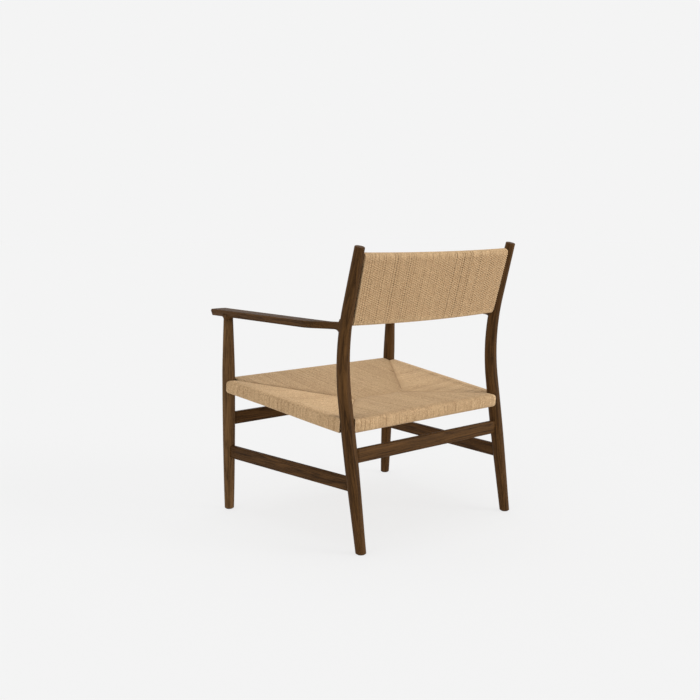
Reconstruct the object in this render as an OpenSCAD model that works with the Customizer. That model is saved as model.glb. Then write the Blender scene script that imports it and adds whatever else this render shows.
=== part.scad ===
// Low wooden armchair with a seat and back wrapped in paper cord.
// Axes: +X is the sitter's left, the chair faces -Y, +Z is up, and the floor is Z = 0.
// Left and right pieces are mirror images. Each left shape is drawn once.

/* [Overall] */
// Depth from the front end of the armrests to the back of the rear feet
chair_d = 610; // [580:1:740]
// Height of the rear leg tops
chair_h = 770; // [750:1:930]
// Distance between the centres of the front feet
front_w = 618; // [560:1:745]
// Distance between the centres of the rear feet
rear_w = 554; // [500:1:670]

/* [Front legs] */
// Diameter at the foot
front_foot_d = 26.5; // [24:0.5:32]
// Largest diameter, at seat height
front_belly_d = 36; // [33:0.5:43]
// Diameter under the armrest
front_top_d = 26.8; // [24:0.2:32]
// Height of the shoulder that carries the armrest
front_leg_h = 552; // [520:1:560]
// Backward lean in degrees
front_rake = 1.92; // [0:0.02:4]
// Outward lean in degrees
front_splay = 0.49; // [0:0.01:1]
// Diameter of the round tenon that enters the armrest
leg_tenon_d = 16; // [12:0.5:19]
// Length of that tenon
leg_tenon_l = 19; // [14:1:21]

/* [Rear legs] */
// Diameter at the foot
rear_foot_d = 27.5; // [25:0.5:33]
// Largest diameter, just under the seat
rear_belly_d = 36; // [33:0.5:43]
// Diameter at the top
rear_top_d = 26; // [24:0.5:31]
// Height of the largest diameter
rear_belly_z = 280; // [250:5:330]
// Forward lean of the lower part in degrees
lower_lean = 8.84; // [6:0.02:10]
// Backward lean of the upper part in degrees
upper_lean = 15.75; // [13:0.05:18]
// Outward lean in degrees
rear_splay = 0.23; // [0:0.01:0.5]
// Height where the two lean lines would cross
knee_z = 499; // [485:1:505]
// Height over which the bend is spread
knee_l = 243; // [200:1:250]

/* [Stretchers] */
// Height of a stretcher bar
bar_h = 36; // [28:1:44]
// Thickness of a stretcher bar
bar_t = 16; // [13:0.5:20]
// Radius of its long edges
bar_r = 4; // [1:0.5:6]
// Height of the tenon's flat cheeks
bar_tenon_h = 24; // [18:1:27]
// Thickness of the tenon
bar_tenon_t = 9; // [7:0.5:12]
// Centre height of the two side stretchers
side_bar_z = 172; // [150:1:200]
// Centre height of the back stretcher
back_bar_z = 242; // [225:1:265]
// Centre height of the front stretcher
front_bar_z = 267; // [245:1:300]

/* [Seat] */
// Height of the middle of the front seat rail
seat_z = 363.5; // [345:0.5:380]
// Backward slope of the seat in degrees
seat_slope = 5.34; // [3:0.02:7]
// Height of a seat rail
rail_h = 30; // [26:0.5:36]
// Thickness of a seat rail
rail_t = 20; // [17:0.5:24]
// Radius of its long edges
rail_r = 6; // [3:0.5:8]
// How far the rails sit outside the line between the leg centres
rail_out = 4; // [2:0.5:6]
// Diameter of the round rail tenons
rail_tenon_d = 12; // [10:0.5:13]
// How far the tenons of crossing rails are set above and below the middle
tenon_step = 7; // [6.6:0.1:8]
// Distance of the centre seam behind the front leg line
seam_back = 292; // [250:1:300]
// Half the length of the centre seam
seam_half = 92; // [60:1:110]

/* [Backrest] */
// How far the leg tops stand above the backrest
back_drop = 18.5; // [12:1:30]
// Height of the backrest, along its lean
back_h = 188; // [150:1:195]
// How far the backrest bows to the rear at its middle
back_bow = 13; // [8:1:24]
// Height of a back rail
back_rail_h = 24; // [20:1:30]
// Thickness of a back rail
back_rail_t = 15.6; // [13:0.2:18]
// Diameter of the round tenons of the back rails
back_tenon_d = 11; // [9:0.5:12]

/* [Armrests] */
// Height of the top face
arm_z = 578.5; // [574:0.5:582]
// Thickness
arm_t = 18; // [16:0.5:20]
// Width at the front end
arm_w = 54; // [44:1:64]
// How much narrower the armrest is where its neck starts
arm_taper = 6; // [0:1:10]
// How far the armrest reaches in front of the front leg's centre
arm_overhang = 76; // [50:1:90]
// Radius of the front corners
arm_corner_r = 12; // [6:1:18]
// Radius of the long edges
arm_edge_r = 4.5; // [2:0.5:6]
// Length of the neck that curves in to the rear leg
neck_l = 116; // [90:1:130]
// Fillet where the neck runs up the rear leg
neck_top_r = 8; // [5:1:12]
// Fillet where the neck runs down the rear leg
neck_under_r = 10; // [6:1:16]
// Diameter of the dowel between armrest and rear leg
dowel_d = 10; // [8:0.5:12]
// Length of that dowel
dowel_l = 46; // [36:1:54]

/* [Cord and small parts] */
// Diameter of the paper cord
cord_d = 3.2; // [2.6:0.1:4]
// Diameter of a foot glide
glide_d = 20; // [16:1:24]
// Thickness of a foot glide
glide_t = 2; // [1.5:0.5:4]
// Diameter of the pin on a glide
glide_pin_d = 4; // [3:0.5:5]
// Length of the pin on a glide
glide_pin_l = 14; // [10:1:20]
// Diameter of a cord tack's shank
tack_d = 1.6; // [1.2:0.1:2.2]
// Length of a cord tack's shank
tack_l = 10; // [7:1:13]

/* [Fits] */
// Radial gap of every tenon, dowel and pin in its hole
fit_gap = 0.05; // [0.02:0.01:0.15]
// Gap between a shaped piece and the leg that it follows
leg_gap = 0.3; // [0.2:0.05:0.8]
// Depth to which a stretcher's full section is let into a leg
let_in = 1.5; // [0.5:0.25:3]
// How far a tenon passes the leg's centre
tenon_past = 4; // [1:0.5:7]

/* [Hidden] */

wood = [0.29, 0.20, 0.125];
hidden_wood = [0.72, 0.57, 0.38];
cord = [0.76, 0.62, 0.46];
steel = [0.55, 0.55, 0.57];
nylon = [0.16, 0.13, 0.10];

round_n = 64;        // segments of a round tenon or bore
leg_sides = 28;      // sides of a bent leg
leg_steps = 30;      // rings between its foot and its top
arc_n = 720;         // segments of a full turn of the wide backrest arc
foot_round = 1.5;    // rounding of leg ends
far = 400;           // reach of cutting blocks

// ---- Front legs: straight, turned, leaning by two small angles ----
arm_mid_z = arm_z - arm_t / 2;
front_top_y = -chair_d / 2 + arm_overhang;
front_foot_y = front_top_y - tan(front_rake) / cos(front_splay) * front_leg_h;
belly_lo = 350;      // the turned leg has its full diameter between
belly_hi = 400;      // these two heights

function front_at(z) = [
  front_w / 2 + tan(front_splay) * z,
  front_foot_y + tan(front_rake) / cos(front_splay) * z,
  z
];
function front_d(z) =
  z < belly_lo
    ? front_foot_d + (front_belly_d - front_foot_d) * pow(sin(90 * max(z, 0) / belly_lo), 0.8)
    : z < belly_hi
      ? front_belly_d
      : front_belly_d - (front_belly_d - front_top_d)
        * pow((z - belly_hi) / (front_leg_h - belly_hi), 1.2);

// ---- Rear legs: two leaning lines joined by a long bend ----
rear_foot_y = chair_d / 2 - rear_foot_d / 2;
bend = tan(lower_lean) + tan(upper_lean);
rear_end_z = chair_h - sin(upper_lean) * rear_top_d / 2;

function bent(u) = u <= 0 ? 0 : u < knee_l ? u * u / (2 * knee_l) : u - knee_l / 2;
function rear_at(z) = [
  rear_w / 2 + tan(rear_splay) * z,
  rear_foot_y - tan(lower_lean) * z + bend * bent(z - knee_z + knee_l / 2),
  z
];
function rear_tilt(z) =
  atan(-tan(lower_lean) + bend * min(max((z - knee_z + knee_l / 2) / knee_l, 0), 1));
function rear_d(z) =
  z < rear_belly_z
    ? rear_foot_d + (rear_belly_d - rear_foot_d) * pow(sin(90 * max(z, 0) / rear_belly_z), 1.3)
    : rear_belly_d - (rear_belly_d - rear_top_d)
      * pow((z - rear_belly_z) / (chair_h - rear_belly_z), 1.6);

// ---- Seat plane: it passes through the leg centres at rail height ----
front_c = front_at(seat_z);
rear_guess = rear_at(seat_z - tan(seat_slope) * (rear_at(seat_z)[1] - front_c[1]));
rear_c = rear_at(seat_z - tan(seat_slope) * (rear_guess[1] - front_c[1]));
seat_l = (rear_c[1] - front_c[1]) / cos(seat_slope);
side_turn = atan((front_c[0] - rear_c[0]) / seat_l);
side_l = norm([front_c[0] - rear_c[0], seat_l]);
front_r = front_d(seat_z) / 2;
rear_r = rear_d(rear_c[2]) / 2;
wrap_h = rail_h + 2 * cord_d;

// ---- Backrest frame: parallel to the upper legs ----
back_top_z = chair_h - back_drop;
back_mid_z = back_top_z - cos(upper_lean) * back_h / 2;
back_mid = rear_at(back_mid_z);
back_t = back_rail_t + 2 * cord_d;
back_set = -1;       // the panel's middle surface against the leg centres
back_span = back_mid[0];
back_arc_r = (back_span * back_span + back_bow * back_bow) / (2 * back_bow);
back_half_turn = asin(back_span / back_arc_r);
back_rail_off = back_h / 2 - cord_d - back_rail_h / 2;

// ---- Armrest plan ----
arm_joint = rear_at(arm_mid_z);
arm_joint_r = rear_d(arm_mid_z) / 2;
arm_front_y = -chair_d / 2;
arm_grip = 0.92;     // width of the neck's end against the leg's diameter
arm_toe = 0.28;      // outward turn of the long outer edge, in degrees
inner_neck_l = 52;   // length of the neck's inner curve
dowel_turn = 15;     // turn of the dowel towards the middle of the neck
tack_head_d = 4;
tack_head_t = 1;

// ================= Shared shapes =================

// Solid skin over a list of rings with equal numbers of points
module skin(rings) {
  n = len(rings[0]);
  m = len(rings);
  polyhedron(
    points = [for (ring = rings) for (p = ring) p],
    faces = concat(
      [[for (j = [0:n - 1]) j]],
      [for (i = [0:m - 2]) for (j = [0:n - 1])
        [i * n + j, (i + 1) * n + j, (i + 1) * n + (j + 1) % n]],
      [for (i = [0:m - 2]) for (j = [0:n - 1])
        [i * n + j, (i + 1) * n + (j + 1) % n, i * n + (j + 1) % n]],
      [[for (j = [n - 1:-1:0]) (m - 1) * n + j]]
    )
  );
}

// Rectangle with round corners, centred
module round_rect(w, h, r) {
  square([w, h - 2 * r], center = true);
  square([w - 2 * r, h], center = true);
  for (x = [-1, 1], y = [-1, 1])
    translate([x * (w / 2 - r), y * (h / 2 - r)]) circle(r = r, $fn = round_n);
}

// Straight extrusion along +Y, starting at y0
module along_y(y0, l) {
  translate([0, y0, 0]) rotate([-90, 0, 0]) linear_extrude(height = l) children();
}

module left_and_right(side) {
  mirror([side < 0 ? 1 : 0, 0, 0]) children();
}

// ================= Frames =================

module front_leg_frame() {
  translate(front_at(0)) rotate([-front_rake, front_splay, 0]) children();
}

module seat_frame() {
  translate([0, front_c[1], front_c[2]]) rotate([-seat_slope, 0, 0]) children();
}

// Along the left side rail: origin at the front leg, +Y to the rear leg, +X outward
module side_rail_frame() {
  seat_frame() translate([front_c[0], 0, 0]) rotate([0, 0, side_turn]) children();
}

module back_frame() {
  translate([0, back_mid[1], back_mid[2]]) rotate([-upper_lean, 0, 0]) children();
}

// ================= Legs =================

function leg_ring(z, d, tilt) = [
  for (i = [0:leg_sides - 1])
    let (a = 360 * i / leg_sides)
    rear_at(z) + d / 2 * [cos(a), sin(a) * cos(tilt), -sin(a) * sin(tilt)]
];

// The bent leg, made thicker all over by grow
module rear_leg_body(grow = 0) {
  z0 = glide_t;
  z1 = rear_end_z;
  skin(concat(
    [leg_ring(z0, rear_d(z0) - 2 * foot_round + 2 * grow, 0)],
    [leg_ring(z0 + foot_round, rear_d(z0) + 2 * grow, 0)],
    [for (i = [1:leg_steps - 1])
      let (z = z0 + (z1 - z0) * i / leg_steps)
      leg_ring(z, rear_d(z) + 2 * grow, rear_tilt(z))],
    [leg_ring(z1 - foot_round, rear_d(z1) + 2 * grow, rear_tilt(z1))],
    [leg_ring(z1, rear_d(z1) - 2 * foot_round + 2 * grow, rear_tilt(z1))]
  ));
}

module front_leg_body() {
  steps = 36;
  z0 = -6;
  difference() {
    front_leg_frame() rotate_extrude($fn = round_n) polygon(concat(
      [[0, z0]],
      [for (i = [0:steps])
        let (z = z0 + (front_leg_h - z0) * i / steps)
        [front_d(z) / 2, z]],
      [[leg_tenon_d / 2, front_leg_h],
       [leg_tenon_d / 2, front_leg_h + leg_tenon_l],
       [0, front_leg_h + leg_tenon_l]]
    ));
    translate([front_w / 2 - far / 2, front_foot_y - far / 2, glide_t - far])
      cube([far, far, far]);
  }
}

module front_leg() {
  color(wood) difference() {
    front_leg_body();
    side_bar(fit_gap);
    front_bar(fit_gap);
    side_rail(fit_gap);
    front_rail(fit_gap);
    glide(front_at(0), fit_gap);
  }
}

module rear_leg() {
  color(wood) difference() {
    rear_leg_body();
    side_bar(fit_gap);
    back_bar(fit_gap);
    side_rail(fit_gap);
    rear_rail(fit_gap);
    back_rail(1, fit_gap);
    back_rail(-1, fit_gap);
    dowel(fit_gap);
    glide(rear_at(0), fit_gap);
  }
}

// ================= Stretchers =================

// Distance from a leg's centre at which a bar's full section ends
function bar_end(leg_d) = sqrt(leg_d * leg_d - bar_t * bar_t) / 2 - let_in;

// Bar along +Y between two leg centres that lie l apart
module bar(l, d0, d1, grow) {
  e0 = bar_end(d0);
  e1 = bar_end(d1);
  along_y(e0 - grow, l - e0 - e1 + 2 * grow)
    round_rect(bar_t + 2 * grow, bar_h + 2 * grow, bar_r + grow);
  along_y(-tenon_past - grow, l + 2 * tenon_past + 2 * grow)
    round_rect(bar_tenon_t + 2 * grow, bar_tenon_h + 2 * grow, bar_tenon_t / 2 - 0.1 + grow);
}

module side_bar(grow = 0) {
  a = front_at(side_bar_z);
  b = rear_at(side_bar_z);
  translate(a) rotate([0, 0, atan((a[0] - b[0]) / (b[1] - a[1]))])
    bar(norm(b - a), front_d(side_bar_z), rear_d(side_bar_z), grow);
}

module cross_bar(a, leg_d, grow) {
  translate(a) rotate([0, 0, 90]) bar(2 * a[0], leg_d, leg_d, grow);
}

module front_bar(grow = 0) {
  cross_bar(front_at(front_bar_z), front_d(front_bar_z), grow);
}

module back_bar(grow = 0) {
  cross_bar(rear_at(back_bar_z), rear_d(back_bar_z), grow);
}

// ================= Seat rails =================

// Rail along +Y between two leg centres, with round tenons set up or down by step
module rail(l, r0, r1, step, grow) {
  along_y(r0 + leg_gap, l - r0 - r1 - 2 * leg_gap) round_rect(rail_t, rail_h, rail_r);
  translate([0, -tenon_past - grow, step]) rotate([-90, 0, 0])
    cylinder(d = rail_tenon_d + 2 * grow, h = l + 2 * tenon_past + 2 * grow, $fn = round_n);
}

module side_rail(grow = 0) {
  side_rail_frame() translate([rail_out, 0, 0])
    rail(side_l, front_r, rear_r, -tenon_step, grow);
}

module front_rail(grow = 0) {
  seat_frame() translate([front_c[0], -rail_out, 0]) rotate([0, 0, 90])
    rail(2 * front_c[0], front_r, front_r, tenon_step, grow);
}

module rear_rail(grow = 0) {
  seat_frame() translate([rear_c[0], seat_l + rail_out, 0]) rotate([0, 0, 90])
    rail(2 * rear_c[0], rear_r, rear_r, tenon_step, grow);
}

// ================= Back rails =================

// Arc of the backrest, as a section swept about an upright axis in the back frame
module back_arc(half_turn) {
  translate([0, back_set + back_bow - back_arc_r, 0]) rotate([0, 0, 90 - half_turn])
    rotate_extrude(angle = 2 * half_turn, $fn = arc_n) translate([back_arc_r, 0]) children();
}

// Bent rail with a round tenon at each end; side is 1 for the upper and -1 for the lower rail
module back_rail(side, grow = 0) {
  z = side * back_rail_off;
  leg_r = rear_d(back_mid_z + z * cos(upper_lean)) / 2;
  rail_turn = asin((back_span - leg_r - 2 * leg_gap) / back_arc_r);
  back_frame() {
    translate([0, 0, z]) back_arc(rail_turn) round_rect(back_rail_t, back_rail_h, rail_r);
    for (s = [-1, 1])
      translate([s * (back_span + tenon_past + grow), back_set, z]) rotate([0, -s * 90, 0])
        cylinder(d = back_tenon_d + 2 * grow, h = leg_r + tenon_past + 8, $fn = round_n);
  }
}

// ================= Cord =================

// Wrapped seat rail: flat inside, round outside
module wrap_section(grow) {
  w = rail_t / 2;
  h = rail_h / 2;
  r = rail_r;
  translate([-w / 2 - grow, -h - grow]) square([w / 2 + grow, 2 * h + 2 * grow]);
  translate([-w, -h - grow]) square([w + w - r, 2 * h + 2 * grow]);
  translate([-w, -h + r]) square([2 * w + grow, 2 * h - 2 * r]);
  for (y = [-1, 1])
    translate([w - r, y * (h - r)]) circle(r = r + grow, $fn = round_n);
}

// The four wrapped rails, standing grow proud of the wood, each stopping end_gap from a leg centre
module wrapped_rails(grow, end_gap) {
  for (side = [-1, 1])
    left_and_right(side) translate([front_c[0], 0, 0]) rotate([0, 0, side_turn])
      translate([rail_out, 0, 0]) along_y(end_gap, side_l - 2 * end_gap) wrap_section(grow);
  translate([-front_c[0], -rail_out, 0]) rotate([0, 0, -90])
    along_y(end_gap, 2 * front_c[0] - 2 * end_gap) wrap_section(grow);
  translate([rear_c[0], seat_l + rail_out, 0]) rotate([0, 0, 90])
    along_y(end_gap, 2 * rear_c[0] - 2 * end_gap) wrap_section(grow);
}

// How far the inner face of a rail lies inside the line between the leg centres
rail_in = rail_t / 2 - rail_out;

// Corners of the sheets of cord, just over the rails' inner faces, in the seat frame,
// anticlockwise from the front right
sheet_lap = 1;
sheet_in = rail_in - sheet_lap;
side_in = sheet_in / cos(side_turn);
side_skew = sheet_in * tan(side_turn);
field = [
  [-front_c[0] + side_in + side_skew, sheet_in],
  [front_c[0] - side_in - side_skew, sheet_in],
  [rear_c[0] - side_in + side_skew, seat_l - sheet_in],
  [-rear_c[0] + side_in - side_skew, seat_l - sheet_in]
];
seam = [for (x = [-1, 1, 1, -1]) [x * seam_half, seam_back]];
seam_t = cord_d * 0.85;  // half the thickness of the weave at its centre seam

// Upper and lower sheets of cord, dipping from the rails to the centre seam
module hip_block() {
  h = wrap_h / 2;
  top = [for (p = field) [p[0], p[1], h]];
  bottom = [for (p = field) [p[0], p[1], -h]];
  polyhedron(
    points = concat(bottom, top,
      [for (s = [-1, 1], x = [-1, 1]) [x * seam_half, seam_back, s * seam_t]]),
    faces = [
      [0, 4, 5, 1], [1, 5, 6, 2], [2, 6, 7, 3], [3, 7, 4, 0],
      [4, 10, 11, 5], [5, 11, 6], [6, 11, 10, 7], [7, 10, 4],
      [0, 1, 9, 8], [1, 2, 9], [2, 3, 8, 9], [3, 0, 8]
    ]
  );
}

// The hollow between those sheets, closed where they meet round the seam
module hip_hollow() {
  h = wrap_h / 2;
  share = (h - cord_d) / (h - seam_t);
  top = [for (p = field) [p[0], p[1], h - cord_d]];
  bottom = [for (p = field) [p[0], p[1], -h + cord_d]];
  inner = [for (i = [0:3]) concat(field[i] + share * (seam[i] - field[i]), [0])];
  polyhedron(
    points = concat(bottom, top, inner),
    faces = [
      [0, 4, 5, 1], [1, 5, 6, 2], [2, 6, 7, 3], [3, 7, 4, 0],
      [4, 8, 9, 5], [5, 9, 10, 6], [6, 10, 11, 7], [7, 11, 8, 4],
      [0, 1, 9, 8], [1, 2, 10, 9], [2, 3, 11, 10], [3, 0, 8, 11]
    ]
  );
}

wrap_end = 11;       // the cord wraps stop this far from a leg's centre

module seat_weave() {
  color(cord) difference() {
    seat_frame() difference() {
      union() {
        wrapped_rails(cord_d, wrap_end);
        hip_block();
      }
      union() {
        wrapped_rails(0, 0);
        hip_hollow();
      }
    }
    for (side = [-1, 1]) left_and_right(side) {
      front_leg_frame() cylinder(r = front_belly_d / 2 + leg_gap, h = front_leg_h, $fn = round_n);
      rear_leg_body(leg_gap);
    }
  }
}

// Outline of the wound backrest, made thicker all over by grow
module back_panel(grow = 0) {
  back_arc(back_half_turn)
    round_rect(back_t + 2 * grow, back_h + 2 * grow, rail_r + cord_d + grow);
}

module back_weave() {
  color(cord) difference() {
    back_frame() difference() {
      back_panel();
      back_arc(back_half_turn + 1) round_rect(back_rail_t, back_h - 2 * cord_d, rail_r);
    }
    for (side = [-1, 1]) left_and_right(side) rear_leg_body(leg_gap);
  }
}

// ================= Armrests =================

function ease(t) = let (c = min(max(t, 0), 1)) c * c * (3 - 2 * c);
function mix(a, b, t) = a + (b - a) * t;
function round_in(r, t) = t < r ? r - sqrt(r * r - (r - t) * (r - t)) : 0;

arm_outer_x = front_at(arm_mid_z)[0] + front_top_d / 2;
arm_l = arm_joint[1] - arm_front_y;

function arm_line(y) = arm_outer_x + tan(arm_toe) * (y - arm_front_y);
function arm_outer(y) = mix(
  arm_line(y),
  arm_joint[0] + arm_grip * arm_joint_r,
  ease((y - arm_joint[1] + neck_l) / (neck_l - arm_joint_r))
);
function arm_inner(y) = mix(
  arm_line(y) - arm_w + arm_taper * min((y - arm_front_y) / (arm_l - neck_l), 1),
  arm_joint[0] - arm_grip * arm_joint_r,
  ease((y - arm_joint[1] + inner_neck_l) / (inner_neck_l - arm_joint_r / 2))
);

// Height added at a point so that the neck runs up or down the leg in a fillet
function leg_fillet(x, y, r) =
  round_in(r, max(norm([x - arm_joint[0], y - arm_joint[1]]) - arm_joint_r, 0));

arm_across = 4;      // steps across the top and across the underside
arm_dome = 0.3;      // rise of the broad faces at their middle
arm_round = 4;       // steps round each long edge

function dome(i) = arm_dome * 4 * i * (arm_across - i) / (arm_across * arm_across);

// Section of the armrest at y, anticlockwise when seen from the rear
function arm_ring(y) = let (
  t = y - arm_front_y,
  corner = round_in(arm_corner_r, t),
  x0 = arm_inner(y) + corner,
  x1 = arm_outer(y) - corner,
  h = arm_t / 2 - round_in(arm_edge_r, t),
  r = max(arm_edge_r - round_in(arm_edge_r, t), 0.4),
  flat = concat(
    [for (i = [0:arm_across]) [mix(x0 + r, x1 - r, i / arm_across), h + dome(i)]],
    [for (i = [1:arm_round]) let (a = 90 - 90 * i / arm_round)
      [x1 - r + r * cos(a), h - r + r * sin(a)]],
    [for (i = [0:arm_round - 1]) let (a = -90 * i / arm_round)
      [x1 - r + r * cos(a), -h + r + r * sin(a)]],
    [for (i = [0:arm_across]) [mix(x1 - r, x0 + r, i / arm_across), -h - dome(i)]],
    [for (i = [1:arm_round]) let (a = -90 - 90 * i / arm_round)
      [x0 + r + r * cos(a), -h + r + r * sin(a)]],
    [for (i = [0:arm_round - 1]) let (a = 180 - 90 * i / arm_round)
      [x0 + r + r * cos(a), h - r + r * sin(a)]]
  )
) [
  for (p = flat)
    let (
      share = p[1] / (arm_t / 2),
      lift = p[1] > 0 ? leg_fillet(p[0], y, neck_top_r) : leg_fillet(p[0], y, neck_under_r)
    )
    [p[0], y, arm_mid_z + p[1] + share * lift]
];

arm_blank_steps = 12;
arm_neck_steps = 14;
arm_tip_steps = 7;
fillet_start = arm_joint[1] - arm_joint_r - neck_under_r;
arm_stations = concat(
  [for (i = [0:arm_tip_steps]) arm_front_y + arm_corner_r * (1 - cos(90 * i / arm_tip_steps))],
  [for (i = [1:arm_blank_steps])
    mix(arm_front_y + arm_corner_r, arm_joint[1] - neck_l, i / arm_blank_steps)],
  [for (i = [1:arm_neck_steps]) mix(arm_joint[1] - neck_l, fillet_start, i / arm_neck_steps)],
  [for (i = [1:arm_neck_steps]) mix(fillet_start, arm_joint[1], i / arm_neck_steps)]
);

cove_r = 8;          // radius of the cove round the boss under the armrest
cove_up = 1.5;       // the cove's centre line stands this much too high, to end in a crisp edge
cove_x = front_top_d / 2 + cove_r;
cove_z = arm_mid_z - arm_t / 2 - cove_r + cove_up;
boss_top = arm_mid_z + 2;

// Round boss over the front leg, spreading into the underside in a cove
module arm_boss() {
  intersection() {
    front_leg_frame() rotate_extrude($fn = round_n) difference() {
      translate([0, front_leg_h]) square([cove_x, boss_top - front_leg_h]);
      translate([cove_x, cove_z]) circle(r = cove_r, $fn = round_n);
      translate([front_top_d / 2, front_leg_h - 1])
        square([cove_r + 1, cove_z - front_leg_h + 1]);
    }
    translate([arm_outer_x - arm_w + 1, arm_front_y, 0])
      cube([arm_w - 1, 2 * arm_overhang, chair_h]);
  }
}

module armrest() {
  color(wood) difference() {
    union() {
      skin([for (y = arm_stations) arm_ring(y)]);
      arm_boss();
    }
    front_leg_frame() translate([0, 0, front_leg_h - 2])
      cylinder(d = leg_tenon_d + 2 * fit_gap, h = leg_tenon_l + 2 + 2 * fit_gap, $fn = round_n);
    rear_leg_body(fit_gap);
    back_frame() back_panel(leg_gap);
    dowel(fit_gap);
  }
}

// Dowel from behind the rear leg's centre forward into the neck
module dowel(grow = 0) {
  translate(arm_joint) rotate([0, 0, dowel_turn]) translate([0, tenon_past + grow, 0])
    rotate([90, 0, 0])
      cylinder(d = dowel_d + 2 * grow, h = dowel_l + 2 * grow, $fn = round_n);
}

// ================= Glides and tacks =================

module glide(foot, grow = 0) {
  translate([foot[0], foot[1], 0]) {
    cylinder(d = glide_d, h = glide_t, $fn = round_n);
    cylinder(d = glide_pin_d + 2 * grow, h = glide_t + glide_pin_l + grow, $fn = round_n);
  }
}

// Tack that enters along +Z, its head just off the surface at the origin
module tack() {
  cylinder(d = tack_d, h = tack_l, $fn = round_n);
  translate([0, 0, -tack_head_t]) cylinder(d = tack_head_d, h = tack_head_t, $fn = round_n);
}

// Hole for it, cut from clear of the surface
module tack_hole() {
  translate([0, 0, -tack_head_t])
    cylinder(d = tack_d + 2 * fit_gap, h = tack_head_t + tack_l + fit_gap, $fn = round_n);
}

side_tack_y = side_l * 0.3;      // places where a length of cord starts or ends
cross_tack_x = front_c[0] * 0.45;
back_tack_x = back_span * 0.6;

module side_tack_place() {
  side_rail_frame() translate([rail_out - rail_t / 2, side_tack_y, 0])
    rotate([0, 90, 0]) children();
}

module front_tack_place() {
  seat_frame() translate([cross_tack_x, rail_in, 0]) rotate([90, 0, 0]) children();
}

module rear_tack_place() {
  seat_frame() translate([-cross_tack_x, seat_l - rail_in, 0]) rotate([-90, 0, 0]) children();
}

// In the rail's hidden edge; side is 1 for the upper and -1 for the lower rail
module back_tack_place(side) {
  sag = back_arc_r - sqrt(back_arc_r * back_arc_r - back_tack_x * back_tack_x);
  back_frame()
    translate([-side * back_tack_x, back_set + back_bow - sag,
               side * (back_rail_off - back_rail_h / 2)])
      rotate([side > 0 ? 0 : 180, 0, 0]) children();
}

// ================= Nodes =================

module front_leg_left() front_leg();
module front_leg_right() left_and_right(-1) front_leg();
module rear_leg_left() rear_leg();
module rear_leg_right() left_and_right(-1) rear_leg();
module armrest_left() armrest();
module armrest_right() left_and_right(-1) armrest();
module armrest_dowel_left() color(hidden_wood) dowel();
module armrest_dowel_right() left_and_right(-1) color(hidden_wood) dowel();
module side_stretcher_left() color(wood) side_bar();
module side_stretcher_right() left_and_right(-1) color(wood) side_bar();
module front_stretcher() color(wood) front_bar();
module back_stretcher() color(wood) back_bar();

module side_seat_rail_left() {
  color(hidden_wood) difference() {
    side_rail();
    side_tack_place() tack_hole();
  }
}

module side_seat_rail_right() left_and_right(-1) side_seat_rail_left();

module front_seat_rail() {
  color(hidden_wood) difference() {
    front_rail();
    front_tack_place() tack_hole();
  }
}

module rear_seat_rail() {
  color(hidden_wood) difference() {
    rear_rail();
    rear_tack_place() tack_hole();
  }
}

module upper_back_rail() {
  color(hidden_wood) difference() {
    back_rail(1);
    back_tack_place(1) tack_hole();
  }
}

module lower_back_rail() {
  color(hidden_wood) difference() {
    back_rail(-1);
    back_tack_place(-1) tack_hole();
  }
}

module cord_tacks() {
  color(steel) {
    for (side = [-1, 1]) left_and_right(side) side_tack_place() tack();
    front_tack_place() tack();
    rear_tack_place() tack();
    for (side = [-1, 1]) back_tack_place(side) tack();
  }
}

module glide_front_left() color(nylon) glide(front_at(0));
module glide_front_right() left_and_right(-1) glide_front_left();
module glide_rear_left() color(nylon) glide(rear_at(0));
module glide_rear_right() left_and_right(-1) glide_rear_left();

front_leg_left();
front_leg_right();
rear_leg_left();
rear_leg_right();
armrest_left();
armrest_right();
armrest_dowel_left();
armrest_dowel_right();
side_stretcher_left();
side_stretcher_right();
front_stretcher();
back_stretcher();
side_seat_rail_left();
side_seat_rail_right();
front_seat_rail();
rear_seat_rail();
upper_back_rail();
lower_back_rail();
seat_weave();
back_weave();
cord_tacks();
glide_front_left();
glide_front_right();
glide_rear_left();
glide_rear_right();
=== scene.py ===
# %% [markdown]
# # A low oak armchair wound with paper cord
#
# The chair has two turned front legs, two bent rear legs, two armrests and four stretchers, all in
# smoked oak. Its seat and its back are wound from one kind of twisted paper cord. The solid model
# fixes every size and place. This lesson makes the surfaces: smooth wood, and every turn of cord.
#
# A frame comes in first. It is never moved. Each new piece is made in the same place, in metres.

# %% Load the frame
from math import cos, pi, radians, sin, sqrt, tan
import bpy
import numpy as np
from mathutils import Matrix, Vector


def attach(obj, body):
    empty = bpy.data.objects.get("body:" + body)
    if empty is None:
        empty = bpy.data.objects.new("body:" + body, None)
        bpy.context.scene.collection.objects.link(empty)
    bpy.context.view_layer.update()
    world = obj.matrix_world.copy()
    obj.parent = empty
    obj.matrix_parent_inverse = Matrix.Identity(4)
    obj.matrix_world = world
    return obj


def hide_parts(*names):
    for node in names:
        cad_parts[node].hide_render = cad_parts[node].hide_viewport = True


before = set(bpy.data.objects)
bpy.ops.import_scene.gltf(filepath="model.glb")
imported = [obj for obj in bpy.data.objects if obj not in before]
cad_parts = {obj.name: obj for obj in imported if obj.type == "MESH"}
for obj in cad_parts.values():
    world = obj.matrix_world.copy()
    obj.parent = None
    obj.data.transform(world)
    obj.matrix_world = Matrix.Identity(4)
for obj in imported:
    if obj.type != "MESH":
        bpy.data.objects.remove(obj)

scene = bpy.context.scene
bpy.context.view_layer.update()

# %% [markdown]
# ## Camera
#
# A chair like this is often shown from behind, because the bent legs and the wound back are its best
# side. The camera stands behind the chair, to the sitter's left, a little above the seat. A lens
# near 50 mm keeps the legs straight and the depth of the seat easy to read.

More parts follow.
